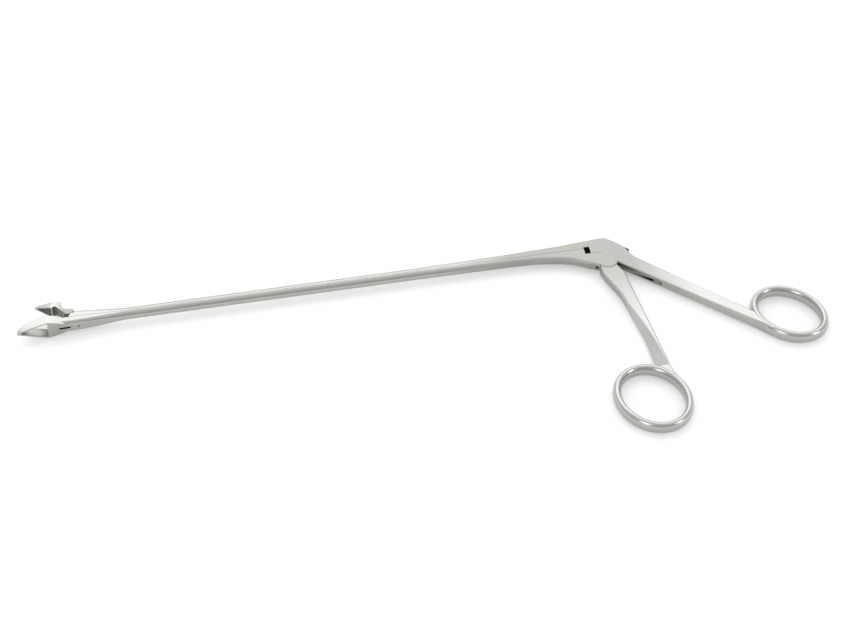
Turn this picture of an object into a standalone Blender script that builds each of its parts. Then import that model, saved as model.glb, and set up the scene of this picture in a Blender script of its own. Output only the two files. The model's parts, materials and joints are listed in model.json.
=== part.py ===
# Biopsy forceps: a long sliding shaft, a basket jaw and a cup jaw, and two finger rings.
# All sizes are metres and radians. X runs along the shaft towards the rings, Y towards the back
# of the instrument, and Z up from the surface that it lies on.
# Pieces are drawn about the handle pivot at X = 0, the shaft axis at Y = 0 and the middle plane at
# Z = 0, and carried together by one empty that stands the box of the whole model on Z = 0.
import math

import bmesh
import bpy
from mathutils import Matrix, Vector

# Shaft, split lengthwise into a fixed half below and a sliding half above
SHAFT_DIAMETER = 0.0050
SHAFT_SEAM_Y = -0.0003
WORKING_LENGTH = 0.2530
NECK_TAPER_LENGTH = 0.0300
NECK_WIDTH = 0.0064
NECK_BACK_Y = 0.0032
NECK_BELLY_Y = -0.0034
NECK_CORNER = 0.0011

# Fits
GAP = 0.0003
PIN_GAP = 0.00025

# Basket jaw, at the front end of the fixed half
JAW_LENGTH = 0.0130
JAW_WIDTH = 0.0096
JAW_BELLY_Y = -0.0035
JAW_RIM_Y = 0.0008
JAW_WALL = 0.0008
JAW_NOSE_WIDTH = 0.0016
JAW_NOSE_HEIGHT = 0.0013
JAW_NOSE_SLOPE = 0.0060
JAW_NOSE_REACH = 0.0040
SHOULDER_LENGTH = 0.0056

# Cup jaw, hinged between the cheeks of the fixed half and drawn open, as it lies at rest
CUP_OPEN_ANGLE = math.radians(27.0)
CUP_TRAVEL = math.radians(38.0)
CUP_REACH = 0.0177
CUP_RIM_LENGTH = 0.0077
CUP_RIM_RISE = 0.0038
CUP_WIDTH = 0.0064
CUP_DEPTH = 0.0015
CUP_WALL = 0.0006
CUP_NOSE_WIDTH = 0.0010
CUP_ROOT_WIDTH = 0.0048
CUP_ROOT_BLEND = 0.0018
CUP_HOLLOW_FRONT = 0.0015
CUP_HOLLOW_SLOPE = 0.0023
TONGUE_THICKNESS = 0.0020
HINGE_BEHIND_TIP = 0.0223
HINGE_Y = -0.0016
HINGE_PIN_DIAMETER = 0.0008
HINGE_BOSS_DIAMETER = 0.0022
LINK_ARM = 0.0033
LINK_PIN_DIAMETER = 0.0008
LINK_BOSS_DIAMETER = 0.0026
LINK_SLACK = 0.00035
SLIDER_NOSE_DROP = 0.0013
SLIDER_NOSE_LENGTH = 0.0024

# Side views about the hinge: the back of the cup jaw with its rim level, and as it lies open the
# tongue above the link pin and the wing that overhangs the sliding half
CUP_BACK = [(-0.0026, 0.0040), (-0.0041, 0.0049), (-0.0052, 0.0052), (-0.0062, 0.0069),
            (-0.0072, 0.0078), (-0.0082, 0.0076), (-0.0096, 0.0069), (-0.0112, 0.0064),
            (-0.0142, 0.0057), (-0.0166, 0.0048)]
CUP_TONGUE = [(-0.0021, 0.0060), (0.0006, 0.0022), (0.0021, 0.0031), (0.0015, 0.0055),
              (0.0012, 0.0066), (-0.0003, 0.0074), (-0.0016, 0.0071)]
CUP_WING = [(-0.0019, 0.0042), (-0.0002, 0.0039), (0.0024, 0.0051), (0.0023, 0.0058),
            (0.0014, 0.0065), (-0.0011, 0.0068), (-0.0023, 0.0078), (-0.0029, 0.0066)]

# Openings on the underside of the fixed half, behind the basket
DRAIN_SLOT_LENGTH = 0.0036
DRAIN_SLOT_WIDTH = 0.0009
DRAIN_HOLE_DIAMETER = 0.0010
DRAIN_HOLE_BEHIND_HINGE = 0.0036
CHANNEL_FLOOR = 0.0005

# Guide keels under the sliding half, one behind the tip and one before the handle pivot
KEEL_LENGTH = 0.0100
KEEL_THICKNESS = 0.0012
KEEL_DEPTH = 0.0010
KEEL_BEHIND_TIP = 0.0410
KEEL_BEFORE_PIVOT = 0.0500

# Body at the handle end, with its back and belly as places along X and heights
BODY_THICKNESS = 0.0044
BODY_CORNER = 0.0009
BODY_BLEND_LENGTH = 0.0850
BACK = [(-0.045, 0.0026), (-0.031, 0.00295), (-0.020, 0.0033), (-0.010, 0.0039), (-0.0035, 0.0044),
        (-0.0003, 0.0046), (0.0019, 0.0042), (0.0038, 0.0029), (0.0084, -0.0010), (0.0102, -0.0027)]
BELLY = [(-0.045, -0.0026), (-0.031, -0.0029), (-0.020, -0.0043), (-0.015, -0.0055),
         (-0.010, -0.0078), (-0.005, -0.0102), (-0.003, -0.0112)]
BLOCK_SEAM_Y = -0.0034
BLOCK_FRONT_X = -0.0062
WINDOW_TOP_Y = 0.0004
PIVOT_Y = -0.0080
PIVOT_PIN_DIAMETER = 0.0024
CHEEK_RADIUS = 0.00485
CHEEK_START = math.radians(-139.0)
CHEEK_END = math.radians(-27.0)
CROTCH_RELIEF = 0.0006
TANG_THICKNESS = 0.0016
TANG_BOSS_DIAMETER = 0.0060
TANG_HEEL_DIAMETER = 0.0062
TANG_ARM = 0.0079
TANG_HEAD_DIAMETER = 0.0024
TANG_NECK_WIDTH = 0.0016
TAIL_DIAMETER = 0.0015
TAIL_FRONT = (0.0072, -0.0006)
TAIL_END = (0.0104, -0.0024)

# Handles, tapering from the body to the finger rings
HANDLE_THICKNESS = 0.0044
HANDLE_CORNER = 0.0010
REAR_ROOT = (0.0077, -0.0090)
REAR_END = (0.0541, -0.0515)
REAR_ROOT_WIDTH = 0.0068
REAR_END_WIDTH = 0.0048
FRONT_ROOT = (0.0013, -0.0100)
FRONT_ROOT_WIDTH = 0.0070
FRONT_END_WIDTH = 0.0056
FRONT_SHOULDER_RELIEF = 0.0016

# Front handle from above: its belly edge, which runs on from the belly of the body
FRONT_BELLY_EDGE = [(-0.0022, -0.0098), (-0.0040, -0.0118), (-0.0033, -0.0159), (-0.0009, -0.0222),
                    (0.0013, -0.0284), (0.0034, -0.0403), (0.0054, -0.0520), (0.0061, -0.0616)]

# The flank ground into the front handle: its low edge with heights, and the ridge above it
FLANK_LOW = [(-0.0007, -0.0236, 0.0024), (0.0011, -0.0280, 0.0002), (0.0020, -0.0330, -0.0010),
             (0.0041, -0.0445, -0.0015), (0.0057, -0.0560, -0.0015), (0.0065, -0.0660, -0.0015)]
FLANK_RIDGE = [(-0.0005, -0.0240), (0.0013, -0.0280), (0.0025, -0.0330), (0.0060, -0.0445),
               (0.0088, -0.0560), (0.0111, -0.0701)]

# Finger rings: centre, outer length and width, tilt of the long axis, and where the handle meets
RING_BAND = 0.0036
RING_HEIGHT = 0.0060
FRONT_RING_CENTRE = (0.0007, -0.0850)
FRONT_RING_SIZE = (0.0360, 0.0311)
FRONT_RING_TILT = math.radians(-62.0)
FRONT_RING_MEETING = math.radians(114.0)
REAR_RING_CENTRE = (0.0688, -0.0508)
REAR_RING_SIZE = (0.0346, 0.0273)
REAR_RING_TILT = math.radians(-43.0)
REAR_RING_MEETING = math.radians(264.0)

# Leaf spring in a slot of the rear handle, measured along the handle from its root
SPRING_LEAF = 0.0005
SPRING_WIDTH = 0.0015
SPRING_INSET = 0.0011
SPRING_PIN_ALONG = 0.0165
SPRING_FOOT_LENGTH = 0.0044
SPRING_TIP_ALONG = -0.0006
SPRING_TIP_STANDOFF = 0.0004
SPRING_PIN_DIAMETER = 0.0008
SPRING_SLOT_DEPTH = 0.0029

# Smoothness of the curves
CORNER_STEPS = 4
CIRCLE_STEPS = 20
RING_STEPS = 40
SHAFT_STEPS = 5

TIP_X = -WORKING_LENGTH
JAW_ROOT_X = TIP_X + JAW_LENGTH
SHOULDER_X = JAW_ROOT_X + SHOULDER_LENGTH
SHAFT_RADIUS = SHAFT_DIAMETER / 2.0
HINGE = Vector((TIP_X + HINGE_BEHIND_TIP, HINGE_Y, 0.0))
LINK_OFFSET = LINK_ARM * Vector((math.sin(CUP_TRAVEL / 2.0), math.cos(CUP_TRAVEL / 2.0), 0.0))
LINK = HINGE + LINK_OFFSET
STROKE = 2.0 * LINK_OFFSET.x
SLIDER_FRONT_X = LINK.x - LINK_PIN_DIAMETER / 2.0 - 2.2 * GAP
WINDOW_FRONT_X = BLOCK_FRONT_X - STROKE - GAP
KEEL_FRONTS = (TIP_X + KEEL_BEHIND_TIP, -KEEL_BEFORE_PIVOT)
PIVOT = Vector((0.0, PIVOT_Y, 0.0))
HANDLE_TRAVEL = STROKE / TANG_ARM
TANG_TURN = HANDLE_TRAVEL / 2.0
TANG_HEAD = PIVOT + TANG_ARM * Vector((math.sin(TANG_TURN), math.cos(TANG_TURN), 0.0))
TANG_SLOT = TANG_THICKNESS + 2.0 * GAP
FORK_SLOT = TONGUE_THICKNESS + 2.0 * GAP
MARGIN = 0.004


def material(name, colour, roughness):
    steel = bpy.data.materials.new(name)
    steel.use_nodes = True
    shader = steel.node_tree.nodes["Principled BSDF"]
    shader.inputs["Base Color"].default_value = (*colour, 1.0)
    shader.inputs["Metallic"].default_value = 1.0
    shader.inputs["Roughness"].default_value = roughness
    return steel


def loft(name, sections, closed=False):
    # Skins a row of sections with equally many points; a closed row makes a ring.
    shape = bmesh.new()
    rows = [[shape.verts.new(point) for point in section] for section in sections]
    count = len(rows[0])
    pairs = list(zip(rows, rows[1:]))
    if closed:
        pairs.append((rows[-1], rows[0]))
    for first, second in pairs:
        for index in range(count):
            after = (index + 1) % count
            shape.faces.new((first[index], first[after], second[after], second[index]))
    if not closed:
        shape.faces.new(list(reversed(rows[0])))
        shape.faces.new(rows[-1])
    bmesh.ops.recalc_face_normals(shape, faces=shape.faces)
    if shape.calc_volume(signed=True) < 0.0:
        bmesh.ops.reverse_faces(shape, faces=shape.faces)
    mesh = bpy.data.meshes.new(name)
    shape.to_mesh(mesh)
    shape.free()
    mesh.shade_smooth()
    mesh.set_sharp_from_angle(angle=math.radians(32.0))
    node = bpy.data.objects.new(name, mesh)
    bpy.context.collection.objects.link(node)
    return node


def plate(name, outline, thickness):
    sections = [[(x, y, z) for x, y in outline] for z in (-thickness / 2.0, thickness / 2.0)]
    return loft(name, sections)


def box(name, x_range, y_range, thickness):
    left, right = x_range
    low, high = y_range
    return plate(name, [(left, low), (right, low), (right, high), (left, high)], thickness)


def tower(name, plans):
    # Skins plans that lie in X and Z, each at its own height Y.
    return loft(name, [[(x, height, z) for x, z in plan] for height, plan in plans])


def circle(centre, radius, steps=CIRCLE_STEPS):
    turns = [2.0 * math.pi * step / steps for step in range(steps)]
    return [(centre[0] + radius * math.cos(turn), centre[1] + radius * math.sin(turn)) for turn in turns]


def disc(name, centre, diameter, thickness):
    return plate(name, circle(centre, diameter / 2.0), thickness)


def capsule(name, first, second, first_radius, second_radius, thickness):
    # Outline around two circles, for a lever or a rounded bar.
    first = Vector(first[:2])
    second = Vector(second[:2])
    along = (second - first).normalized()
    heading = math.atan2(along.y, along.x)
    lean = math.asin((first_radius - second_radius) / (second - first).length)
    half = CIRCLE_STEPS // 2
    outline = []
    for centre, radius, start in ((second, second_radius, heading - math.pi / 2.0 + lean),
                                  (first, first_radius, heading + math.pi / 2.0 - lean)):
        sweep = math.pi - 2.0 * lean if centre is second else math.pi + 2.0 * lean
        for step in range(half + 1):
            turn = start + sweep * step / half
            outline.append((centre.x + radius * math.cos(turn), centre.y + radius * math.sin(turn)))
    return plate(name, outline, thickness)


def inset(outline, distance):
    # Moves each side of a counterclockwise outline inwards by the distance.
    moved = []
    for index, point in enumerate(outline):
        before = Vector(point) - Vector(outline[index - 1])
        after = Vector(outline[(index + 1) % len(outline)]) - Vector(point)
        normals = [Vector((-side.y, side.x)).normalized() for side in (before, after)]
        middle = (normals[0] + normals[1]).normalized()
        moved.append(tuple(Vector(point) + middle * distance / max(middle.dot(normals[0]), 0.5)))
    return moved


def rounded_plate(name, outline, thickness, corner):
    sections = []
    turns = [math.pi / 2.0 * step / CORNER_STEPS for step in range(CORNER_STEPS + 1)]
    for side, order in ((-1.0, turns[::-1]), (1.0, turns)):
        for turn in order:
            height = side * (thickness / 2.0 - corner + corner * math.sin(turn))
            edge = inset(outline, corner * (1.0 - math.cos(turn)))
            sections.append([(x, y, height) for x, y in edge])
    return loft(name, sections)


def through(points, x):
    # Height at x of a smooth curve through the points.
    last = len(points) - 1
    index = max(0, min(last - 1, sum(1 for place, _ in points[1:last] if place <= x)))
    (x0, y0), (x1, y1) = points[index], points[index + 1]
    before = points[max(index - 1, 0)]
    after = points[min(index + 2, last)]
    length = x1 - x0
    slope0 = (y1 - before[1]) / (x1 - before[0])
    slope1 = (after[1] - y0) / (after[0] - x0)
    t = min(max((x - x0) / length, 0.0), 1.0)
    ease = t * t * (3.0 - 2.0 * t)
    return (y0 + (y1 - y0) * ease + length * slope0 * t * (1.0 - t) ** 2
            - length * slope1 * t * t * (1.0 - t))


def shaft_section(x, half_width, top, bottom, corner):
    corner = min(corner, 0.96 * half_width, 0.48 * (top - bottom))
    points = []
    for side, end, start in ((1.0, top, 0.0), (-1.0, top, 90.0), (-1.0, bottom, 180.0),
                             (1.0, bottom, 270.0)):
        upward = 1.0 if start < 180.0 else -1.0
        for step in range(CORNER_STEPS + 1):
            turn = math.radians(start + 90.0 * step / CORNER_STEPS)
            z = side * (half_width - corner) + corner * math.cos(turn)
            y = end - upward * corner + corner * math.sin(turn)
            points.append((x, y, z))
    return points


def stations(left, right, steps):
    return [left + (right - left) * step / steps for step in range(steps + 1)]


def shaft_sections(front, back):
    # Sections of the whole shaft and body, square at the neck, round along the shaft.
    neck_end = SHOULDER_X + NECK_TAPER_LENGTH
    blend = -BODY_BLEND_LENGTH
    neck = SHOULDER_X + NECK_TAPER_LENGTH / 5.0
    places = stations(SHOULDER_X, neck, 2) + stations(neck, neck_end, SHAFT_STEPS)[1:]
    places += stations(neck_end, blend, 2)[1:] + stations(blend, BACK[1][0], SHAFT_STEPS)[1:]
    places += stations(BACK[1][0], BACK[-1][0], 4 * SHAFT_STEPS)[1:]
    back_curve = [(blend, SHAFT_RADIUS)] + BACK
    belly_curve = [(blend, -SHAFT_RADIUS)] + BELLY
    sections = []
    for x in [front] + [place for place in places if front + GAP < place < back - GAP] + [back]:
        ease = min(max((x - neck) / (neck_end - neck), 0.0), 1.0)
        ease = ease * ease * (3.0 - 2.0 * ease)
        flat = min(max((x - blend) / (BACK[1][0] - blend), 0.0), 1.0)
        half_width = NECK_WIDTH / 2.0 + (SHAFT_RADIUS - NECK_WIDTH / 2.0) * ease
        half_width += (BODY_THICKNESS / 2.0 - SHAFT_RADIUS) * flat
        corner = NECK_CORNER + (SHAFT_RADIUS - NECK_CORNER) * ease + (BODY_CORNER - SHAFT_RADIUS) * flat
        top = NECK_BACK_Y + (SHAFT_RADIUS - NECK_BACK_Y) * ease
        bottom = NECK_BELLY_Y + (-SHAFT_RADIUS - NECK_BELLY_Y) * ease
        if x > blend:
            top = through(back_curve, x)
            bottom = through(belly_curve, x)
        sections.append(shaft_section(x, half_width, top, min(bottom, top - 4.0 * GAP), corner))
    return sections


def ring_centre_line(centre, size, tilt, turn):
    along = (size[0] - RING_BAND) / 2.0 * math.cos(turn)
    across = (size[1] - RING_BAND) / 2.0 * math.sin(turn)
    x = centre[0] + along * math.cos(tilt) - across * math.sin(tilt)
    y = centre[1] + along * math.sin(tilt) + across * math.cos(tilt)
    return Vector((x, y))


def finger_ring(name, centre, size, tilt):
    # An upright oval band swept around an oval.
    sections = []
    for step in range(RING_STEPS):
        turn = 2.0 * math.pi * step / RING_STEPS
        place = ring_centre_line(centre, size, tilt, turn)
        ahead = ring_centre_line(centre, size, tilt, turn + 0.01)
        along = (ahead - place).normalized()
        outwards = Vector((along.y, -along.x))
        section = []
        for corner in range(3 * CORNER_STEPS):
            angle = 2.0 * math.pi * corner / (3 * CORNER_STEPS)
            point = place + outwards * math.cos(angle) * RING_BAND / 2.0
            section.append((point.x, point.y, math.sin(angle) * RING_HEIGHT / 2.0))
        sections.append(section)
    return loft(name, sections, closed=True)


def front_strip(end):
    # Tapered bar down to the front ring, with the rear corner taken off its root.
    root = Vector(FRONT_ROOT)
    along = (end - root).normalized()
    left = Vector((-along.y, along.x))
    half = FRONT_ROOT_WIDTH / 2.0
    relieved = half - FRONT_SHOULDER_RELIEF
    stop = end - along * RING_BAND / 4.0
    corners = [stop - left * FRONT_END_WIDTH / 2.0, stop + left * FRONT_END_WIDTH / 2.0,
               root + left * half + along * 4.0 * FRONT_SHOULDER_RELIEF,
               root + left * relieved + along * FRONT_SHOULDER_RELIEF, root + left * relieved]
    outline = FRONT_BELLY_EDGE + [tuple(corner) for corner in corners]
    return rounded_plate("front_strip", outline, HANDLE_THICKNESS, HANDLE_CORNER)


def front_flank():
    # Cutter for the ground flank, reaching a little beyond the low edge.
    top = HANDLE_THICKNESS / 2.0
    sections = []
    for low, ridge in zip(FLANK_LOW, FLANK_RIDGE):
        low = Vector(low)
        ridge = Vector((*ridge, top))
        beyond = low + (low - ridge).normalized() * MARGIN / 4.0
        sections.append([tuple(beyond), tuple(ridge), (ridge.x, ridge.y, top + MARGIN),
                         (beyond.x, beyond.y, top + MARGIN)])
    return loft("front_flank", sections)


def rear_strip():
    # Tapered bar whose front edge runs on as a toe into the rear ring.
    root = Vector(REAR_ROOT)
    end = Vector(REAR_END)
    toe = ring_centre_line(REAR_RING_CENTRE, REAR_RING_SIZE, REAR_RING_TILT, REAR_RING_MEETING)
    along = rear_direction()
    left = Vector((-along.y, along.x))
    corners = [root - left * REAR_ROOT_WIDTH / 2.0, toe, end + left * REAR_END_WIDTH / 2.0,
               root + left * REAR_ROOT_WIDTH / 2.0]
    outline = [tuple(corner) for corner in corners]
    return rounded_plate("rear_strip", outline, HANDLE_THICKNESS, HANDLE_CORNER)


def boolean(target, other, operation):
    step = target.modifiers.new(other.name, "BOOLEAN")
    step.operation = operation
    step.object = other
    step.solver = "EXACT"
    other.hide_render = True
    other.display_type = "WIRE"


def join(target, *others):
    for other in others:
        boolean(target, other, "UNION")


def cut(target, *others):
    for other in others:
        boolean(target, other, "DIFFERENCE")


def finish(node, name, steel, origin=None):
    node.name = name
    node.data.name = name
    node.data.materials.append(steel)
    if origin is not None:
        node.data.transform(Matrix.Translation(-origin))
        node.location = origin
    return node


def basket_jaw():
    # Pointed basket with an open middle, and the shoulder that carries it on the shaft.
    half = JAW_WIDTH / 2.0
    nose = JAW_NOSE_WIDTH / 2.0
    plan = [(TIP_X, -nose * 0.45), (TIP_X + nose * 0.7, -nose), (JAW_ROOT_X, -half),
            (SHOULDER_X, -NECK_WIDTH / 2.0 - GAP / 5.0), (SHOULDER_X + GAP * 5.0, -NECK_WIDTH / 2.0 + GAP)]
    plan += [(x, -z) for x, z in reversed(plan)]
    jaw = tower("basket_plan", [(JAW_BELLY_Y, plan), (JAW_RIM_Y, plan)])
    slope_end = TIP_X + JAW_NOSE_SLOPE
    seat = SHAFT_SEAM_Y - GAP / 2.0
    above = [(TIP_X - MARGIN, JAW_BELLY_Y + JAW_NOSE_HEIGHT), (TIP_X, JAW_BELLY_Y + JAW_NOSE_HEIGHT),
             ((TIP_X + slope_end) / 2.0, JAW_RIM_Y - 3.0 * GAP), (slope_end, JAW_RIM_Y),
             (JAW_ROOT_X, JAW_RIM_Y), (JAW_ROOT_X + 3.0 * GAP, seat),
             (SHOULDER_X + MARGIN, seat), (SHOULDER_X + MARGIN, MARGIN), (TIP_X - MARGIN, MARGIN)]
    cut(jaw, plate("basket_profile", above, 2.0 * JAW_WIDTH))
    return jaw


def basket_opening():
    # Open middle of the basket, which the nose of the cup jaw enters; it slopes forward to the belly.
    half = JAW_WIDTH / 2.0
    nose = JAW_NOSE_WIDTH / 2.0
    rim_front = TIP_X + JAW_NOSE_REACH
    plans = []
    for height, nose_x in ((JAW_BELLY_Y - GAP, TIP_X + 2.2 * JAW_WALL), (JAW_RIM_Y + GAP, rim_front)):
        grow = half * (nose_x - TIP_X) / JAW_LENGTH - JAW_WALL / 2.0
        front = max(grow, nose * 0.5)
        back = JAW_ROOT_X - GAP / 3.0
        plans.append((height, [(nose_x, -front), (back, JAW_WALL - half),
                               (back, half - JAW_WALL), (nose_x, front)]))
    return tower("basket_opening", plans)


def body_outline():
    # Side view of the body behind the window, round about the handle pivot.
    front = WINDOW_FRONT_X
    lap = front - 3.0 * GAP
    outline = [(lap, BLOCK_SEAM_Y + 6.0 * GAP), (lap, through(BELLY, front) + MARGIN / 4.0)]
    start = CHEEK_START
    end = CHEEK_END
    arc_start_x = PIVOT.x + CHEEK_RADIUS * math.cos(start)
    for x in stations(front, arc_start_x, 4)[:-1]:
        outline.append((x, through(BELLY, x)))
    for turn in stations(start, end, 10):
        outline.append((PIVOT.x + CHEEK_RADIUS * math.cos(turn),
                        PIVOT.y + CHEEK_RADIUS * math.sin(turn)))
    outline += [tuple(beside_rear_edge(CROTCH_RELIEF, 0.0)),
                tuple(beside_rear_edge(MARGIN, REAR_ROOT_WIDTH / 2.0)),
                (BACK[-1][0], BLOCK_SEAM_Y - 5.0 * GAP), (BACK[-1][0] - 2.0 * GAP, BLOCK_SEAM_Y + 6.0 * GAP)]
    return outline


def rear_direction():
    return (Vector(REAR_END) - Vector(REAR_ROOT)).normalized()


def beside_rear_edge(along, depth):
    # A place on the rear handle, from its root and from its front edge inwards.
    direction = rear_direction()
    inwards = Vector((-direction.y, direction.x))
    length = (Vector(REAR_END) - Vector(REAR_ROOT)).length
    width = REAR_ROOT_WIDTH + (REAR_END_WIDTH - REAR_ROOT_WIDTH) * along / length
    return Vector(REAR_ROOT) + direction * along + inwards * (depth - width / 2.0)


def spring_line():
    pin_place = beside_rear_edge(SPRING_PIN_ALONG, SPRING_INSET)
    tip = beside_rear_edge(SPRING_TIP_ALONG, -SPRING_TIP_STANDOFF)
    return pin_place, tip


def fixed_shaft(steel):
    shaft = loft("fixed_half", shaft_sections(SHOULDER_X - 2.0 * GAP, WINDOW_FRONT_X))
    seam_x = (TIP_X - MARGIN, WINDOW_FRONT_X + MARGIN)
    seam_y = (SHAFT_SEAM_Y - GAP / 2.0, MARGIN * 2.0)
    cut(shaft, box("seam_trim", seam_x, seam_y, JAW_WIDTH * 2.0))
    body = rounded_plate("body_plate", body_outline(), BODY_THICKNESS, BODY_CORNER)
    ring = finger_ring("rear_band", REAR_RING_CENTRE, REAR_RING_SIZE, REAR_RING_TILT)
    join(shaft, body, rear_strip(), ring, basket_jaw())
    block_x = (WINDOW_FRONT_X, TAIL_END[0] + MARGIN)
    cut(shaft, box("block_seat", block_x, (BLOCK_SEAM_Y - GAP, MARGIN * 2.0), JAW_WIDTH))
    boss = TANG_BOSS_DIAMETER / 2.0
    foot_end = SPRING_PIN_ALONG + SPRING_FOOT_LENGTH / 2.0 + GAP
    tang_space = [(-boss - GAP, PIVOT_Y - 2.0 * MARGIN), (-boss - GAP, PIVOT_Y),
                  (-boss, BLOCK_SEAM_Y + MARGIN), (boss + GAP, BLOCK_SEAM_Y + MARGIN),
                  (boss + 4.0 * GAP, PIVOT_Y)]
    for along, depth in ((0.0, SPRING_SLOT_DEPTH), (foot_end, SPRING_SLOT_DEPTH), (foot_end, -GAP),
                         (0.0, -MARGIN)):
        tang_space.append(tuple(beside_rear_edge(along, depth)))
    cut(shaft, plate("tang_slot", tang_space[::-1], TANG_SLOT))
    reach = HINGE_BOSS_DIAMETER / 2.0 + 2.0 * GAP
    channel_y = (JAW_BELLY_Y + CHANNEL_FLOOR, MARGIN)
    cut(shaft, box("tongue_channel", (HINGE.x - reach, HINGE.x + reach), channel_y, FORK_SLOT))
    slot_x = (HINGE.x - DRAIN_SLOT_LENGTH, HINGE.x)
    slot_y = (JAW_BELLY_Y - GAP, HINGE_Y - HINGE_BOSS_DIAMETER / 4.0)
    cut(shaft, box("drain_slot", slot_x, slot_y, DRAIN_SLOT_WIDTH))
    hole_x = HINGE.x + DRAIN_HOLE_BEHIND_HINGE
    hole = [(x, z) for x, z in circle((hole_x, 0.0), DRAIN_HOLE_DIAMETER / 2.0, 12)]
    cut(shaft, tower("drain_hole", [(JAW_BELLY_Y - MARGIN, hole), (HINGE_Y, hole)]))
    for front in KEEL_FRONTS:
        groove = (front - STROKE - 2.0 * GAP, front + KEEL_LENGTH + 2.0 * GAP)
        depth = (SHAFT_SEAM_Y - KEEL_DEPTH - GAP, MARGIN)
        cut(shaft, box("keel_groove", groove, depth, KEEL_THICKNESS + 2.0 * GAP))
    cut(shaft, disc("hinge_bore", HINGE, HINGE_PIN_DIAMETER + 2.0 * PIN_GAP, JAW_WIDTH))
    cut(shaft, disc("pivot_bore", PIVOT, PIVOT_PIN_DIAMETER + 2.0 * PIN_GAP, JAW_WIDTH))
    cut(shaft, disc("spring_bore", spring_line()[0], SPRING_PIN_DIAMETER + 2.0 * PIN_GAP, JAW_WIDTH))
    cut(shaft, basket_opening())
    return finish(shaft, "fixed_shaft", steel)


def sliding_shaft(steel):
    front = SLIDER_FRONT_X
    back = BACK[-1][0]
    nose_end = front + SLIDER_NOSE_LENGTH
    sections = shaft_sections(nose_end, back)
    nose = shaft_sections(front, back)[0]
    lowered = [(x, y - SLIDER_NOSE_DROP if y > 0.0 else y, z) for x, y, z in nose]
    slider = loft("sliding_half", [lowered] + sections)
    below = -4.0 * MARGIN
    for name, x_range, top in (("slider_trim", (front - MARGIN, WINDOW_FRONT_X), SHAFT_SEAM_Y + GAP / 2.0),
                               ("window", (WINDOW_FRONT_X - GAP, BLOCK_FRONT_X), WINDOW_TOP_Y),
                               ("block_trim", (BLOCK_FRONT_X - GAP, back + MARGIN), BLOCK_SEAM_Y)):
        cut(slider, box(name, x_range, (below, top), JAW_WIDTH))
    tail_radius = TAIL_DIAMETER / 2.0
    join(slider, capsule("tail", TAIL_FRONT, TAIL_END, tail_radius, tail_radius, TANG_THICKNESS))
    keel_y = (SHAFT_SEAM_Y - KEEL_DEPTH, SHAFT_SEAM_Y + SHAFT_RADIUS / 2.0)
    for keel_x in KEEL_FRONTS:
        join(slider, box("keel", (keel_x, keel_x + KEEL_LENGTH), keel_y, KEEL_THICKNESS))
    slot_end = LINK.x + LINK_BOSS_DIAMETER / 2.0 + 3.0 * GAP
    cut(slider, box("fork_slot", (front - MARGIN, slot_end), (-MARGIN, 2.0 * MARGIN), FORK_SLOT))
    cut(slider, disc("link_bore", LINK, LINK_PIN_DIAMETER + 2.0 * PIN_GAP, JAW_WIDTH))
    reach = TANG_HEAD_DIAMETER / 2.0 + GAP
    pocket_x = (TANG_HEAD.x - reach, TANG_HEAD.x + reach)
    cut(slider, box("tang_pocket", pocket_x, (below, TANG_HEAD.y + reach + GAP), TANG_SLOT))
    return finish(slider, "sliding_shaft", steel, Vector((0.0, 0.0, 0.0)))


def upper_jaw(steel):
    # Drawn with its rim level, X pointing back from the tip, then turned open about the hinge.
    back = CUP_RIM_LENGTH - CUP_REACH
    rim = CUP_RIM_RISE
    half = CUP_WIDTH / 2.0
    nose = CUP_NOSE_WIDTH / 2.0
    root_x = -LINK_ARM * 2.0 / 3.0
    plan = [(-CUP_REACH, -nose * 0.5), (-CUP_REACH + nose, -nose * 1.2), (back, -half),
            (back + CUP_ROOT_BLEND, -half * 0.94), (root_x, -CUP_ROOT_WIDTH / 2.0)]
    plan += [(x, -z) for x, z in reversed(plan)]
    head = tower("cup_plan", [(0.0, plan), (CUP_REACH, plan)])
    underside = [(-CUP_REACH, rim), (back + CUP_WALL, rim), (back + 2.0 * CUP_WALL, rim + 2.0 * CUP_WALL),
                 (back + CUP_ROOT_BLEND, rim + 2.0 * CUP_WALL), (root_x, LINK_ARM - GAP)]
    boolean(head, plate("cup_profile", underside + CUP_BACK, 2.0 * CUP_WIDTH), "INTERSECT")
    hollow = []
    for height, slope, wall in ((rim - GAP, 0.0, 1.0), (rim + CUP_DEPTH, CUP_HOLLOW_SLOPE, 2.0)):
        front = -CUP_REACH + CUP_HOLLOW_FRONT + slope
        width = half - wall * CUP_WALL
        hollow.append((height, [(front, -nose * 0.5), (back - slope / 8.0, -width),
                                (back - slope / 8.0, width), (front, nose * 0.5)]))
    cut(head, tower("cup_hollow", hollow))
    turn = Matrix.Rotation(CUP_OPEN_ANGLE, 3, "Z")
    link = turn @ LINK_OFFSET
    lever = capsule("lever", (0.0, 0.0), link, HINGE_BOSS_DIAMETER / 2.0, LINK_BOSS_DIAMETER / 2.0,
                    TONGUE_THICKNESS)
    join(head, lever)
    for name, outline, width in (("tongue", CUP_TONGUE, TONGUE_THICKNESS),
                                 ("wing", CUP_WING, CUP_ROOT_WIDTH - GAP)):
        turned = [tuple((turn @ Vector((*point, 0.0))).xy) for point in outline]
        join(head, plate(name, turned, width))
    cut(head, disc("cup_bore", (0.0, 0.0), HINGE_PIN_DIAMETER + 2.0 * PIN_GAP, CUP_WIDTH))
    cut(head, disc("link_eye", link, LINK_PIN_DIAMETER + 2.0 * LINK_SLACK, CUP_WIDTH))
    helpers = [step.object for step in head.modifiers]
    for piece in [head] + helpers:
        piece.location = HINGE
        piece.rotation_euler.z = -CUP_OPEN_ANGLE
    return finish(head, "upper_jaw", steel)


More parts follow.
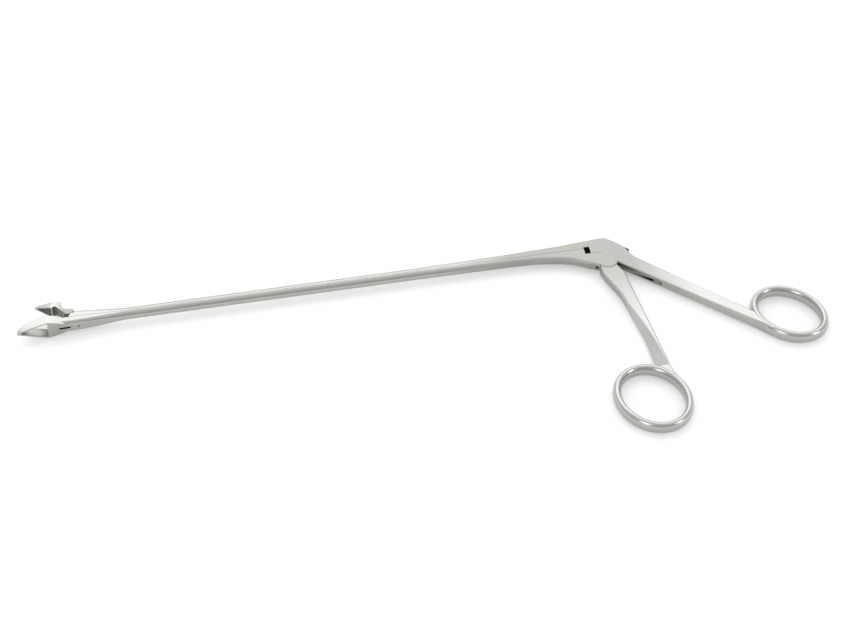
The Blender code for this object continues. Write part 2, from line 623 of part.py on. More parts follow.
def front_handle(steel):
    end = ring_centre_line(FRONT_RING_CENTRE, FRONT_RING_SIZE, FRONT_RING_TILT, FRONT_RING_MEETING)
    strip = front_strip(end)
    cut(strip, front_flank())
    join(strip, finger_ring("front_band", FRONT_RING_CENTRE, FRONT_RING_SIZE, FRONT_RING_TILT))
    cut(strip, disc("cheek_space", PIVOT, 2.0 * (CHEEK_RADIUS + GAP), BODY_THICKNESS * 2.0))
    boss = TANG_BOSS_DIAMETER / 2.0
    web_end = Vector(FRONT_ROOT) + (end - Vector(FRONT_ROOT)).normalized() * CHEEK_RADIUS
    web = capsule("tang_web", PIVOT, web_end, boss, TANG_HEEL_DIAMETER / 2.0, TANG_THICKNESS)
    neck_radius = TANG_NECK_WIDTH / 2.0
    neck = capsule("tang_neck", PIVOT, TANG_HEAD, neck_radius, neck_radius, TANG_THICKNESS)
    head = disc("tang_head", TANG_HEAD, TANG_HEAD_DIAMETER, TANG_THICKNESS)
    join(strip, web, neck, head)
    cut(strip, disc("tang_bore", PIVOT, PIVOT_PIN_DIAMETER + 2.0 * PIN_GAP, BODY_THICKNESS))
    return finish(strip, "front_handle", steel, PIVOT)


def return_spring(steel):
    place, tip = spring_line()
    direction = rear_direction()
    inwards = Vector((-direction.y, direction.x))
    half = SPRING_FOOT_LENGTH / 2.0
    low = -SPRING_INSET + GAP / 3.0
    foot = [place + direction * sign * half + inwards * depth
            for sign, depth in ((-1.0, low), (1.0, low), (1.0, SPRING_INSET), (-1.0, SPRING_INSET))]
    spring = plate("spring_foot", [tuple(point) for point in foot], SPRING_WIDTH)
    leaf = capsule("spring_leaf", place, tip, SPRING_LEAF / 2.0, SPRING_LEAF / 2.0, SPRING_WIDTH)
    join(spring, leaf)
    origin = Vector((place.x, place.y, 0.0))
    cut(spring, disc("foot_bore", place, SPRING_PIN_DIAMETER + 2.0 * PIN_GAP, BODY_THICKNESS))
    return finish(spring, "return_spring", steel, origin)


def pins(steel):
    neck = shaft_sections(HINGE.x, WINDOW_FRONT_X)[0]
    across = 2.0 * max(point[2] for point in neck) - GAP
    spring_place = spring_line()[0]
    made = []
    for name, centre, diameter, length in (
            ("jaw_hinge_pin", HINGE, HINGE_PIN_DIAMETER, across),
            ("jaw_link_pin", LINK, LINK_PIN_DIAMETER, across - 2.0 * GAP),
            ("handle_pivot_pin", PIVOT, PIVOT_PIN_DIAMETER, BODY_THICKNESS),
            ("spring_pin", spring_place, SPRING_PIN_DIAMETER, HANDLE_THICKNESS)):
        made.append(finish(disc(name, centre, diameter, length), name, steel))
    return made


def stand_on_base(root, nodes):
    bpy.context.view_layer.update()
    graph = bpy.context.evaluated_depsgraph_get()
    corners = []
    for node in nodes:
        shown = node.evaluated_get(graph)
        corners += [shown.matrix_world @ vertex.co for vertex in shown.data.vertices]
    low = [min(corner[axis] for corner in corners) for axis in range(3)]
    high = [max(corner[axis] for corner in corners) for axis in range(3)]
    root.location = (-(low[0] + high[0]) / 2.0, -(low[1] + high[1]) / 2.0, -low[2])


def build():
    for old in list(bpy.data.objects):
        bpy.data.objects.remove(old, do_unlink=True)
    satin = material("satin_steel", (0.62, 0.61, 0.59), 0.34)
    dull = material("dull_steel", (0.50, 0.49, 0.47), 0.42)
    polished = material("polished_steel", (0.68, 0.67, 0.65), 0.16)
    nodes = [fixed_shaft(satin), sliding_shaft(satin), upper_jaw(satin), front_handle(satin),
             return_spring(dull)] + pins(polished)
    root = bpy.data.objects.new("forceps_root", None)
    bpy.context.collection.objects.link(root)
    for piece in list(bpy.data.objects):
        if piece is not root:
            piece.parent = root
    stand_on_base(root, nodes)


build()
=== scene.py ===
import json
import math

import bmesh
import bpy
from mathutils import Matrix, Vector


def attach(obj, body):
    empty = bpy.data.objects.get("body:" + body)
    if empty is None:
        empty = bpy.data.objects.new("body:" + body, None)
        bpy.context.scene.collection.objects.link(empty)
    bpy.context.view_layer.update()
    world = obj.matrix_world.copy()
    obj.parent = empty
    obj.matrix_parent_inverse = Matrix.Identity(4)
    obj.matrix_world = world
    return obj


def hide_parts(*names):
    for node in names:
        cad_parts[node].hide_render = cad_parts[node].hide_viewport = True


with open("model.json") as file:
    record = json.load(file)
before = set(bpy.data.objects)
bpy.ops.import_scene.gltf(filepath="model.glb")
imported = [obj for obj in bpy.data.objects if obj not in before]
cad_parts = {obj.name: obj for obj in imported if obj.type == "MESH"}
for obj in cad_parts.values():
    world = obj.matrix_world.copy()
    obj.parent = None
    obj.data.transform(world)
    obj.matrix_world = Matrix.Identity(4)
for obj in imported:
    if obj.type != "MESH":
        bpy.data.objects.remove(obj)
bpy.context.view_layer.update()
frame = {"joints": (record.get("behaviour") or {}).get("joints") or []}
print("frame loaded")

# Everything below is drawn in millimetres from the handle pivot: X back towards the rings,
# Y towards the back of the instrument, with the shaft axis at Y = 0 and the middle plane at Z = 0.
joints = {joint["name"]: joint for joint in frame["joints"]}
handlePivot = Vector(joints["handle_swing"]["pos_m"])
pivotY = -8.0
origin = handlePivot - Vector((0.0, pivotY / 1000.0, 0.0))
toWorld = Matrix.Translation(origin) @ Matrix.Scale(0.001, 4)


# helpers for outlines, meshes and objects

def newObject(name, mesh):
    piece = bpy.data.objects.new(name, mesh)
    bpy.context.scene.collection.objects.link(piece)
    return piece


def skin(name, rows, closed=False):
    # faces between neighbouring rows of equally many points, with end caps unless it closes on itself
    shape = bmesh.new()
    verts = [[shape.verts.new(point) for point in row] for row in rows]
    count = len(verts[0])
    pairs = list(zip(verts, verts[1:]))
    if closed:
        pairs.append((verts[-1], verts[0]))
    for first, second in pairs:
        for index in range(count):
            after = (index + 1) % count
            shape.faces.new((first[index], first[after], second[after], second[index]))
    if not closed:
        shape.faces.new(list(reversed(verts[0])))
        shape.faces.new(verts[-1])
    bmesh.ops.recalc_face_normals(shape, faces=shape.faces)
    if shape.calc_volume(signed=True) < 0:
        bmesh.ops.reverse_faces(shape, faces=shape.faces)
    mesh = bpy.data.meshes.new(name)
    shape.to_mesh(mesh)
    shape.free()
    return newObject(name, mesh)


def slab(name, outline, thickness):
    return skin(name, [[(x, y, z) for x, y in outline] for z in (-thickness / 2, thickness / 2)])


def block(name, xs, ys, zs):
    corners = [(xs[0], ys[0]), (xs[1], ys[0]), (xs[1], ys[1]), (xs[0], ys[1])]
    return skin(name, [[(x, y, z) for x, y in corners] for z in zs])


def tower(name, plans):
    # plans lie in X and Z, each at its own height Y
    return skin(name, [[(x, height, z) for x, z in plan] for height, plan in plans])


def roundBar(name, centre, radius, zs, steps=48):
    turns = [2 * math.pi * step / steps for step in range(steps)]
    outline = [(centre[0] + radius * math.cos(turn), centre[1] + radius * math.sin(turn)) for turn in turns]
    return skin(name, [[(x, y, z) for x, y in outline] for z in zs])


def pill(first, second, firstRadius, secondRadius, steps=16):
    # outline around two circles
    first, second = Vector(first), Vector(second)
    along = (second - first).normalized()
    heading = math.atan2(along.y, along.x)
    lean = math.asin((firstRadius - secondRadius) / (second - first).length)
    outline = []
    for centre, radius, start, sweep in (
            (second, secondRadius, heading - math.pi / 2 + lean, math.pi - 2 * lean),
            (first, firstRadius, heading + math.pi / 2 - lean, math.pi + 2 * lean)):
        for step in range(steps + 1):
            turn = start + sweep * step / steps
            outline.append((centre.x + radius * math.cos(turn), centre.y + radius * math.sin(turn)))
    return outline


def softCorners(points, radius, steps=6):
    # rounds every corner of a counterclockwise outline; radius is one value or one for each corner
    rounded = []
    count = len(points)
    for index, point in enumerate(points):
        size = radius[index] if isinstance(radius, (list, tuple)) else radius
        here = Vector(point)
        back = Vector(points[index - 1]) - here
        ahead = Vector(points[(index + 1) % count]) - here
        reach = min(size, 0.45 * back.length, 0.45 * ahead.length)
        if reach < 0.01:
            rounded.append(tuple(here))
            continue
        start, end = here + back.normalized() * reach, here + ahead.normalized() * reach
        for step in range(steps + 1):
            t = step / steps
            rounded.append(tuple((1 - t) ** 2 * start + 2 * t * (1 - t) * here + t * t * end))
    return rounded


def inset(outline, distance):
    moved = []
    for index, point in enumerate(outline):
        before = Vector(point) - Vector(outline[index - 1])
        after = Vector(outline[(index + 1) % len(outline)]) - Vector(point)
        normals = [Vector((-side.y, side.x)).normalized() for side in (before, after)]
        middle = (normals[0] + normals[1]).normalized()
        moved.append(tuple(Vector(point) + middle * distance / max(middle.dot(normals[0]), 0.5)))
    return moved


def roundedSlab(name, outline, thickness, upper, lower=None, steps=6):
    # upper and lower are the corner radii above and below
    rows = []
    turns = [math.pi / 2 * step / steps for step in range(steps + 1)]
    for side, order, corner in ((-1, turns[::-1], lower or upper), (1, turns, upper)):
        for turn in order:
            height = side * (thickness / 2 - corner + corner * math.sin(turn))
            rows.append([(x, y, height) for x, y in inset(outline, corner * (1 - math.cos(turn)))])
    return skin(name, rows)


def through(points, x):
    # height at x of a smooth curve through the points
    last = len(points) - 1
    index = max(0, min(last - 1, sum(1 for place, _ in points[1:last] if place <= x)))
    (x0, y0), (x1, y1) = points[index], points[index + 1]
    before, after = points[max(index - 1, 0)], points[min(index + 2, last)]
    length = x1 - x0
    slope0 = (y1 - before[1]) / (x1 - before[0])
    slope1 = (after[1] - y0) / (after[0] - x0)
    t = min(max((x - x0) / length, 0), 1)
    ease = t * t * (3 - 2 * t)
    return (y0 + (y1 - y0) * ease + length * slope0 * t * (1 - t) ** 2
            - length * slope1 * t * t * (1 - t))


def spread(first, last, steps):
    return [first + (last - first) * step / steps for step in range(steps + 1)]


def settle(piece):
    # applies the modifiers, so the mesh is what shows
    bpy.context.view_layer.update()
    graph = bpy.context.evaluated_depsgraph_get()
    mesh = bpy.data.meshes.new_from_object(piece.evaluated_get(graph), depsgraph=graph)
    piece.modifiers.clear()
    piece.data = mesh


def combine(piece, others, operation):
    for other in others:
        step = piece.modifiers.new(other.name, "BOOLEAN")
        step.operation = operation
        step.object = other
        step.solver = "EXACT"
    settle(piece)
    for other in others:
        bpy.data.objects.remove(other)
    return piece


def finishPiece(piece, body, edge=0.0, angle=32, shadeAndFinishFaces=None):
    # breaks the sharp edges as a tumbled part has them, then stands the piece in the frame
    if edge > 0:
        step = piece.modifiers.new("edge", "BEVEL")
        step.width = edge
        step.segments = 2
        step.limit_method = "ANGLE"
        step.angle_limit = math.radians(angle)
        step.use_clamp_overlap = True
        settle(piece)
    piece.data.transform(toWorld)
    piece.data.shade_smooth()
    piece.data.set_sharp_from_angle(angle=math.radians(angle))
    even = piece.modifiers.new("even", "WEIGHTED_NORMAL")
    even.keep_sharp = True
    settle(piece)
    if shadeAndFinishFaces:
        # faces that the mask picks take the second material: painted shade in slots, windows and the jaws' hollows, and
        # the paler blasted finish of the front handle's flank
        toDrawing = toWorld.inverted()
        for face in piece.data.polygons:
            face.material_index = int(shadeAndFinishFaces(toDrawing @ face.center, face.normal))
    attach(piece, body)
    return piece


# the shaft, in section

shaft = {
    "diameter": 5.0, "seam": -0.3, "seamGap": 0.12,
    "tip": -253.0, "jawLength": 13.0, "shoulder": 5.6, "taper": 30.0,
    "neckWidth": 6.4, "neckBack": 3.2, "neckBelly": -3.4, "neckCorner": 1.6,
    "blend": 85.0, "bodyThickness": 4.4, "bodyCorner": 0.85,
    "back": [(-45, 2.6), (-31, 2.95), (-20, 3.35), (-10, 4.05), (-3.8, 4.57), (-1.4, 4.77), (2.0, 4.31),
             (4.0, 2.83), (6.5, 0.48), (8.7, -1.98), (9.7, -3.3)],
    "bellyCorner": [(-85, 2.5), (-45, 2.1), (-15, 1.9), (-8.7, 1.2), (-5, 0.8), (0, 0.8)],
    "belly": [(-45, -2.72), (-31, -3.15), (-20, -4.7), (-15, -5.95), (-10, -8.05), (-5, -10.3), (-3, -11.2)],
}
jawRoot = shaft["tip"] + shaft["jawLength"]
shoulderX = jawRoot + shaft["shoulder"]
shaftRadius = shaft["diameter"] / 2


def barSection(x, halfWidth, top, bottom, backCorner, bellyCorner, steps=9):
    row = []
    for side, end, start in ((1, top, 0), (-1, top, 90), (-1, bottom, 180), (1, bottom, 270)):
        upward = 1 if start < 180 else -1
        corner = min(backCorner if end == top else bellyCorner, 0.98 * halfWidth, 0.49 * (top - bottom))
        for step in range(steps + 1):
            turn = math.radians(start + 90 * step / steps)
            row.append((x, end - upward * corner + corner * math.sin(turn),
                        side * (halfWidth - corner) + corner * math.cos(turn)))
    return row


def shaftRows(front, end):
    neckEnd = shoulderX + shaft["taper"]
    neck = shoulderX + shaft["taper"] / 5
    blend, bodyStart = -shaft["blend"], shaft["back"][1][0]
    places = spread(shoulderX, neckEnd, 24) + spread(neckEnd, blend, 12)[1:]
    places += spread(blend, bodyStart, 26)[1:] + spread(bodyStart, shaft["back"][-1][0], 56)[1:]
    backCurve = [(blend, shaftRadius)] + shaft["back"]
    bellyCurve = [(blend, -shaftRadius)] + shaft["belly"]
    rows = []
    for x in [front] + [place for place in places if front + 0.2 < place < end - 0.2] + [end]:
        ease = min(max((x - neck) / (neckEnd - neck), 0), 1)
        ease = ease * ease * (3 - 2 * ease)
        flat = min(max((x - blend) / (bodyStart - blend), 0), 1)
        flat = flat * flat * (3 - 2 * flat) * 0.5 + flat * 0.5
        halfWidth = shaft["neckWidth"] / 2 * (1 - ease) + shaftRadius * ease
        halfWidth += (shaft["bodyThickness"] / 2 - shaftRadius) * flat
        corner = shaft["neckCorner"] * (1 - ease) + shaftRadius * ease
        corner += (shaft["bodyCorner"] - shaftRadius) * flat
        top = shaft["neckBack"] * (1 - ease) + shaftRadius * ease
        bottom = shaft["neckBelly"] * (1 - ease) - shaftRadius * ease
        low = corner
        if x > blend:
            top, bottom = through(backCurve, x), through(bellyCurve, x)
            low = through(shaft["bellyCorner"], x)
        rows.append(barSection(x, halfWidth, top, min(bottom, top - 1.2), corner, low))
    return rows


# link points that both halves share

linkage = {
    "hinge": (-230.7, -1.6), "arm": 3.3, "travel": math.radians(38), "pin": 0.8,
    "tangArm": 7.9, "open": math.radians(27),
}
hingePoint = Vector(linkage["hinge"])
halfTurn = linkage["travel"] / 2
linkOffset = linkage["arm"] * Vector((math.sin(halfTurn), math.cos(halfTurn)))
linkPoint = hingePoint + linkOffset
stroke = 2 * linkOffset.x
pivotPoint = Vector((0, pivotY))
tangTurn = stroke / linkage["tangArm"] / 2
tangHead = pivotPoint + linkage["tangArm"] * Vector((math.sin(tangTurn), math.cos(tangTurn)))
windowX = (-6.2 - stroke - 0.3, -6.2)
blockSeam = -3.4


# fixed half: basket jaw, lower shaft, body, rear handle and its ring

basket = {
    "width": 9.6, "belly": -3.5, "rim": 0.8, "wall": 0.75, "nose": 1.5, "noseHeight": 1.2, "slope": 6.6,
    "openingFront": (1.9, 5.4),  # behind the tip, at the belly and at the rim
    "rootSteps": [(3.6, 0.7), (4.6, 0.5), (6.2, 0.4)],  # behind the basket, and height there
}


def rootSlots():
    # the channel of the cup jaw's tongue and the drain below it, cut in the jaw's root and in the shaft
    channel = 1.7
    return [
        block("tongueChannel", (hingePoint.x - channel, hingePoint.x + channel), (-3.0, 4), (-1.15, 1.15)),
        block("drainSlot", (hingePoint.x - 4.7, hingePoint.x + 0.1), (-4.5, -2.1), (-0.5, 0.5)),
    ]


def makeBasket():
    half, tip = basket["width"] / 2, shaft["tip"]
    nose = basket["nose"] / 2
    halfPlan = [(tip, nose * 0.35), (tip + 0.25, nose * 0.8), (tip + 0.9, nose * 1.25)]
    halfPlan += [(x, nose * 1.25 + (half - nose * 1.25) * ((x - tip - 0.9) / (shaft["jawLength"] - 0.9)) ** 0.94)
                 for x in spread(tip + 2.2, jawRoot, 10)]
    halfPlan += [(shoulderX, shaft["neckWidth"] / 2 + 0.01), (shoulderX + 2.6, shaft["neckWidth"] / 2 - 1.3)]
    plan = [(x, -z) for x, z in halfPlan] + [(x, z) for x, z in reversed(halfPlan)]
    jaw = tower("basket", [(basket["belly"], plan), (basket["rim"] + 1, plan)])
    rise = []
    for t in spread(0, 1, 12):
        low = basket["belly"] + basket["noseHeight"]
        rise.append((tip + t * basket["slope"], low + (basket["rim"] - low) * (1 - (1 - t) ** 1.7)))
    seat = shaft["seam"] - shaft["seamGap"] / 2
    above = [(tip - 4, rise[0][1])] + rise + [
        (jawRoot, basket["rim"])] + [(jawRoot + behind, height) for behind, height in basket["rootSteps"]] + [
        (jawRoot + 6.7, seat), (jawRoot + 12, seat), (jawRoot + 12, 6), (tip - 4, 6)]
    combine(jaw, [slab("basketSide", above, 20)], "DIFFERENCE")
    back = jawRoot - 0.1
    opening = []
    lowFront, highFront = [tip + behind for behind in basket["openingFront"]]
    for height, front in ((basket["belly"] - 0.5, lowFront), (basket["belly"] + 0.2, lowFront),
                          (basket["rim"] + 0.5, highFront)):
        width = max(half * (front - tip) / shaft["jawLength"] - basket["wall"] * 0.45, 0.35)
        opening.append((height, [(front, -width), (back, basket["wall"] - half), (back, half - basket["wall"]),
                                 (front, width)]))
    combine(jaw, [tower("basketOpening", opening), *rootSlots()], "DIFFERENCE")
    return jaw


rearHandle = {
    "root": (7.7, -9.0), "end": (54.1, -51.5), "rootWidth": 6.8, "endWidth": 4.8, "thickness": 4.4,
    "corner": 0.75,
}
rearRing = {"centre": (68.8, -50.8), "size": (34.6, 27.3), "tilt": math.radians(-43), "band": (3.5, 6.0)}
rearLead = {
    "along": (36, 72), "height": 4.405, "corner": 0.75,
    "grow": (37.5, 24), "growHeight": 0.6,  # starts along the handle, and length until it is full
    "rise": (61.5, 7), "riseHeight": 0.9,
}


def ringPoint(ring, turn):
    along = (ring["size"][0] - ring["band"][0]) / 2 * math.cos(turn)
    across = (ring["size"][1] - ring["band"][0]) / 2 * math.sin(turn)
    lean = ring["tilt"]
    return Vector((ring["centre"][0] + along * math.cos(lean) - across * math.sin(lean),
                   ring["centre"][1] + along * math.sin(lean) + across * math.cos(lean)))


def makeRing(name, ring, steps=160, around=32):
    # an oval wire of oval section, forged and then buffed
    width, height = ring["band"]
    rows = []
    for turn in spread(0, 2 * math.pi, steps)[:-1]:
        place = ringPoint(ring, turn)
        along = (ringPoint(ring, turn + 0.01) - place).normalized()
        row = []
        for step in range(around):
            angle = 2 * math.pi * step / around
            side = math.cos(angle) * width / 2
            row.append((place.x + along.y * side, place.y - along.x * side, math.sin(angle) * height / 2))
        rows.append(row)
    return skin(name, rows, True)


rearAlong = (Vector(rearHandle["end"]) - Vector(rearHandle["root"])).normalized()
rearInwards = Vector((-rearAlong.y, rearAlong.x))
rearLength = (Vector(rearHandle["end"]) - Vector(rearHandle["root"])).length


def besideRear(along, depth):
    # a place on the rear handle, from its root and from its front edge inwards
    width = rearHandle["rootWidth"] + (rearHandle["endWidth"] - rearHandle["rootWidth"]) * along / rearLength
    return Vector(rearHandle["root"]) + rearAlong * along + rearInwards * (depth - width / 2)


def makeRearRing():
    # the bar grows as tall as the ring and runs into it along a straight front edge
    ring = makeRing("rearRingBand", rearRing)
    centre = Vector(rearRing["centre"]) - Vector(rearHandle["root"])
    ringAlong, ringAcross = centre.dot(rearAlong), centre.dot(rearInwards)
    semiAlong, semiAcross = [(size - rearRing["band"][0]) / 2 for size in rearRing["size"]]
    rows = []
    for along in spread(*rearLead["along"], 36):
        grow, rise = [min(max((along - start) / length, 0), 1)
                      for start, length in (rearLead["grow"], rearLead["rise"])]
        height = rearLead["height"] + rearLead["growHeight"] * grow ** 1.3 + rearLead["riseHeight"] * rise
        width = rearHandle["rootWidth"] + (rearHandle["endWidth"] - rearHandle["rootWidth"]) * along / rearLength
        low, high = -width / 2 - 0.005 - 0.03 * grow, width / 2 + 0.005 + 0.03 * grow
        beside = (along - ringAlong) / semiAlong
        if abs(beside) < 1:
            high = min(high, ringAcross - semiAcross * math.sqrt(1 - beside * beside))
        corner = min(rearLead["corner"] + 0.25 * grow, 0.45 * (high - low))
        row = []
        for edge, inward, upward, start in ((high, -1, 1, 0), (low, 1, 1, 90), (low, 1, -1, 180), (high, -1, -1, 270)):
            for step in range(7):
                turn = math.radians(start + 15 * step)
                across = edge + inward * corner + corner * math.cos(turn)
                place = Vector(rearHandle["root"]) + rearAlong * along + rearInwards * across
                row.append((place.x, place.y, upward * (height / 2 - corner) + corner * math.sin(turn)))
        rows.append(row)
    return combine(ring, [skin("rearLead", rows)], "UNION")


body = {"cheek": 4.85, "arc": (math.radians(-139), math.radians(-27)), "tangSlot": 1.9}


def makeFixedHalf():
    half = skin("fixedHalf", shaftRows(shoulderX - 0.4, -3.2))
    seam = shaft["seam"] - shaft["seamGap"] / 2
    combine(half, [block("seamTrim", (-260, windowX[0] + 4), (seam, 8), (-10, 10))], "DIFFERENCE")
    belly = shaft["belly"]
    lap = -4.6
    outline = [(lap, blockSeam + 1.8), (lap, through(belly, lap) + 0.5)]
    arcStart, arcEnd = body["arc"]
    outline += [(body["cheek"] * math.cos(turn), pivotY + body["cheek"] * math.sin(turn))
                for turn in spread(arcStart, arcEnd, 30)]
    outline += [tuple(besideRear(0.6, 0)), tuple(besideRear(38.5, 0)), tuple(besideRear(38.5, 5.58)),
                tuple(besideRear(3.2, 6.7)), (10.83, -6.62), (10.05, -5.06), (9.6, -3.2), (9.3, -1.6)]
    plate = roundedSlab("bodyPlate", outline, shaft["bodyThickness"], rearHandle["corner"])
    combine(half, [plate], "UNION")
    seat, closed = blockSeam - shaft["seamGap"], -1.5
    boss = 3.0
    footEnd = 19.5
    tangSpace = [(-boss - 0.3, pivotY - 8), (-boss - 0.3, pivotY), (-boss, blockSeam + 4), (boss + 0.3, blockSeam + 4),
                 (boss + 1.2, pivotY)]
    tangSpace += [tuple(besideRear(along, depth))
                  for along, depth in ((0, 2.9), (footEnd, 2.9), (footEnd, -0.3), (0, -4))]
    hole = [(hingePoint.x + 3.6 + 0.45 * math.cos(turn), 0.45 * math.sin(turn))
            for turn in spread(0, 2 * math.pi, 20)[:-1]]
    cutters = [
        block("blockSeat", (windowX[0], closed), (seat, 8), (-10, 10)),
        block("blockRest", (closed - 0.1, 15), (blockSeam - 0.015, 8), (-10, 10)),
        slab("tangSlot", tangSpace[::-1], body["tangSlot"]),
        *rootSlots(),
        tower("drainHole", [(-8, hole), (-1.6, hole)]),
    ]
    combine(half, cutters, "DIFFERENCE")
    return half


def ventralMarks(piece):
    # a small stop hole and two fine lines across the belly, where the guide is pinned
    hole = [(-4.9 + 0.75 * math.cos(turn), 0.75 * math.sin(turn)) for turn in spread(0, 2 * math.pi, 20)[:-1]]
    cutters = [tower("bellyHole", [(-13, hole), (-6, hole)])]
    for x in (-7.0, -3.6):
        cutters.append(block("bellyLine", (x - 0.07, x + 0.07), (-12.5, through(shaft["belly"], x) + 0.25), (-3, 3)))
    return combine(piece, cutters, "DIFFERENCE")


# faces in the slots, the window and the belly hole, which take the painted shade
def fixedShadeFaces(place, normal):
    inSlot = abs(normal.z) > 0.9 and abs(place.z) < 1.2
    inWindow = windowX[0] - 0.1 < place.x < windowX[1] + 0.3 and place.y > blockSeam - 0.2 and abs(place.z) < 2.15
    inHole = place.y < -9 and abs(normal.y) < 0.3 and math.hypot(place.x + 4.9, place.z) < 0.8
    return inSlot or inWindow or inHole


# the bowl's inside below the rim and the drain slot's walls, which take the honed steel darkened as painted shade
def basketInside(place, normal):
    reach = place.x - shaft["tip"]
    inner = basket["width"] / 2 * reach / shaft["jawLength"] - 0.3
    inDrain = reach > shaft["jawLength"] + 2 and abs(place.z) < 0.55 and abs(normal.y) < 0.1
    inOpening = 1.3 < reach < shaft["jawLength"] + 0.1 and abs(place.z) < inner and abs(normal.y) < 0.98
    return inDrain or inOpening and place.y < basket["rim"] - 0.2


basketJaw = finishPiece(makeBasket(), "body", 0.1, shadeAndFinishFaces=basketInside)
fixedHalf = finishPiece(ventralMarks(makeFixedHalf()), "body", 0.02, shadeAndFinishFaces=fixedShadeFaces)
rearBand = finishPiece(makeRearRing(), "body")
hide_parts("fixed_shaft")
print("fixed half made")


# sliding half, with its block above the body and its tail, painted dark as shade

slider = {"noseDrop": 1.3, "noseLength": 2.4, "windowTop": 0.4, "tail": ((7.9, -1.5), (10.1, -3.35), 0.72)}


def makeSlider():
    front = linkPoint.x - linkage["pin"] / 2 - 0.66
    back = shaft["back"][-1][0]
    rows = shaftRows(front, back)
    shaped = []
    for row in rows:
        t = min(max((row[0][0] - front) / slider["noseLength"], 0), 1)
        drop = slider["noseDrop"] * (1 - t)
        shaped.append([(x, y - drop if y > 0 else y, z) for x, y, z in row])
    extra = []
    for t in (0.2, 0.4, 0.6, 0.8, 1.0):
        x = front + slider["noseLength"] * t
        drop = slider["noseDrop"] * (1 - t)
        extra.append([(x, y - drop if y > 0 else y, z) for _, y, z in shaftRows(x, back)[0]])
    shaped = [shaped[0]] + extra + [row for row in shaped if row[0][0] > front + slider["noseLength"] + 0.2]
    piece = skin("slidingHalf", shaped)
    seam = shaft["seam"] + shaft["seamGap"] / 2
    cutters = [
        block("seamTrim", (front - 4, windowX[0]), (-20, seam), (-10, 10)),
        block("window", (windowX[0] - 0.2, windowX[1]), (-20, slider["windowTop"]), (-10, 10)),
        block("blockTrim", (windowX[1] - 0.3, back + 4), (-20, blockSeam), (-10, 10)),
        block("forkSlot", (front - 4, linkPoint.x + 2.2), (-4, 8), (-1.2, 1.2)),
        block("tangPocket", (tangHead.x - 1.5, tangHead.x + 1.5), (-12, tangHead.y + 1.6), (-0.95, 0.95)),
    ]
    return combine(piece, cutters, "DIFFERENCE")


# faces in the fork slot and round the window, which take the painted shade
def sliderShadeFaces(place, normal):
    inFork = place.x < -200 and abs(normal.z) > 0.9 and abs(place.z) < 1.25
    underWindow = normal.y < -0.9 and windowX[0] - 0.3 < place.x < windowX[1] + 0.05 and place.y > 0
    besideWindow = abs(normal.x) > 0.9 and abs(place.x - windowX[1]) < 0.05
    return inFork or underWindow or besideWindow


slidingHalf = finishPiece(makeSlider(), "slider", 0.02, shadeAndFinishFaces=sliderShadeFaces)
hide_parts("sliding_shaft")
tailFront, tailEnd, tailRadius = slider["tail"]
sliderTail = roundedSlab("sliderTail", pill(tailFront, tailEnd, tailRadius, tailRadius * 0.99), 2.6, 0.3)
finishPiece(sliderTail, "slider")
print("sliding half made")


# cup jaw, drawn with its rim level and turned open about the hinge

cup = {
    "reach": 17.7, "rimLength": 7.7, "rise": 3.8, "width": 6.4, "rootWidth": 4.8, "wall": 0.5, "nose": 1.0,
    "tongue": 2.0,
    "back": [(-4.4, 5.1), (-5.4, 5.5), (-6.3, 7.0), (-7.2, 7.8), (-8.2, 7.7), (-9.6, 7.0), (-11.4, 6.5), (-14.2, 5.75),
             (-16.6, 4.75)],
    "wing": [(-1.9, 4.2), (-0.2, 3.9), (2.4, 5.1), (2.35, 5.9), (1.4, 6.6), (-1.1, 6.8), (-2.3, 7.8), (-2.9, 6.6)],
    "tongueShape": [(-2.1, 6.0), (0.6, 2.2), (2.1, 3.1), (1.5, 5.5), (1.2, 6.6), (-0.3, 7.4), (-1.6, 7.1)],
}


def makeCupJaw():
    reach, rim, half = cup["reach"], cup["rise"], cup["width"] / 2
    back = cup["rimLength"] - reach
    nose = cup["nose"] / 2
    rootX = -2.2
    halfPlan = [(-reach, nose * 0.4), (-reach + 0.3, nose * 0.9), (-reach + 0.9, nose * 1.4)]
    halfPlan += [(x, nose * 1.4 + (half - nose * 1.4) * ((x + reach - 0.9) / (back + reach - 0.9)) ** 0.9)
                 for x in spread(-reach + 1.8, back, 7)]
    halfPlan += [(back + 1.6, half * 0.95), (rootX, cup["rootWidth"] / 2)]
    plan = [(x, -z) for x, z in halfPlan] + [(x, z) for x, z in reversed(halfPlan)]
    head = tower("cupJaw", [(0, plan), (12, plan)])
    crown = [(-2.9, 4.3)] + cup["back"]
    side = [(-reach, rim), (back + 0.7, rim), (back + 1.0, rim + 1.15), (back + 1.8, rim + 1.2), (rootX, 2.95)]
    side += softCorners(crown, [0.0] + [0.8] * (len(crown) - 2) + [0.0], 4)
    combine(head, [slab("cupSide", side, 20)], "INTERSECT")
    hollow = []
    for height, slope, wall in ((rim - 0.3, 0, 1), (rim + 0.5, 0.4, 1.15), (rim + 1.5, 2.3, 2.2)):
        front = -reach + 1.3 + slope
        width = half - wall * cup["wall"]
        hollow.append((height, [(front, -nose * 0.5), (back - slope / 8, -width), (back - slope / 8, width),
                                (front, nose * 0.5)]))
    combine(head, [tower("cupHollow", hollow)], "DIFFERENCE")
    turn = Matrix.Rotation(linkage["open"], 2)
    link = turn @ linkOffset
    tongue, wing = [[tuple(turn @ Vector(point)) for point in cup[key]] for key in ("tongueShape", "wing")]
    parts = [slab("lever", pill((0, 0), link, 1.1, 1.3), cup["tongue"]),
             slab("tonguePlate", softCorners(tongue, 0.3, 3), cup["tongue"]),
             slab("wingPlate", softCorners(wing, 0.35, 3), cup["rootWidth"] - 0.3)]
    combine(head, parts, "UNION")
    combine(head, [roundBar("cupBore", (0, 0), 0.5, (-4, 4)), roundBar("linkEye", link, 0.7, (-4, 4))], "DIFFERENCE")
    head.data.transform(Matrix.Translation((hingePoint.x, hingePoint.y, 0)) @ Matrix.Rotation(-linkage["open"], 4, "Z"))
    return head


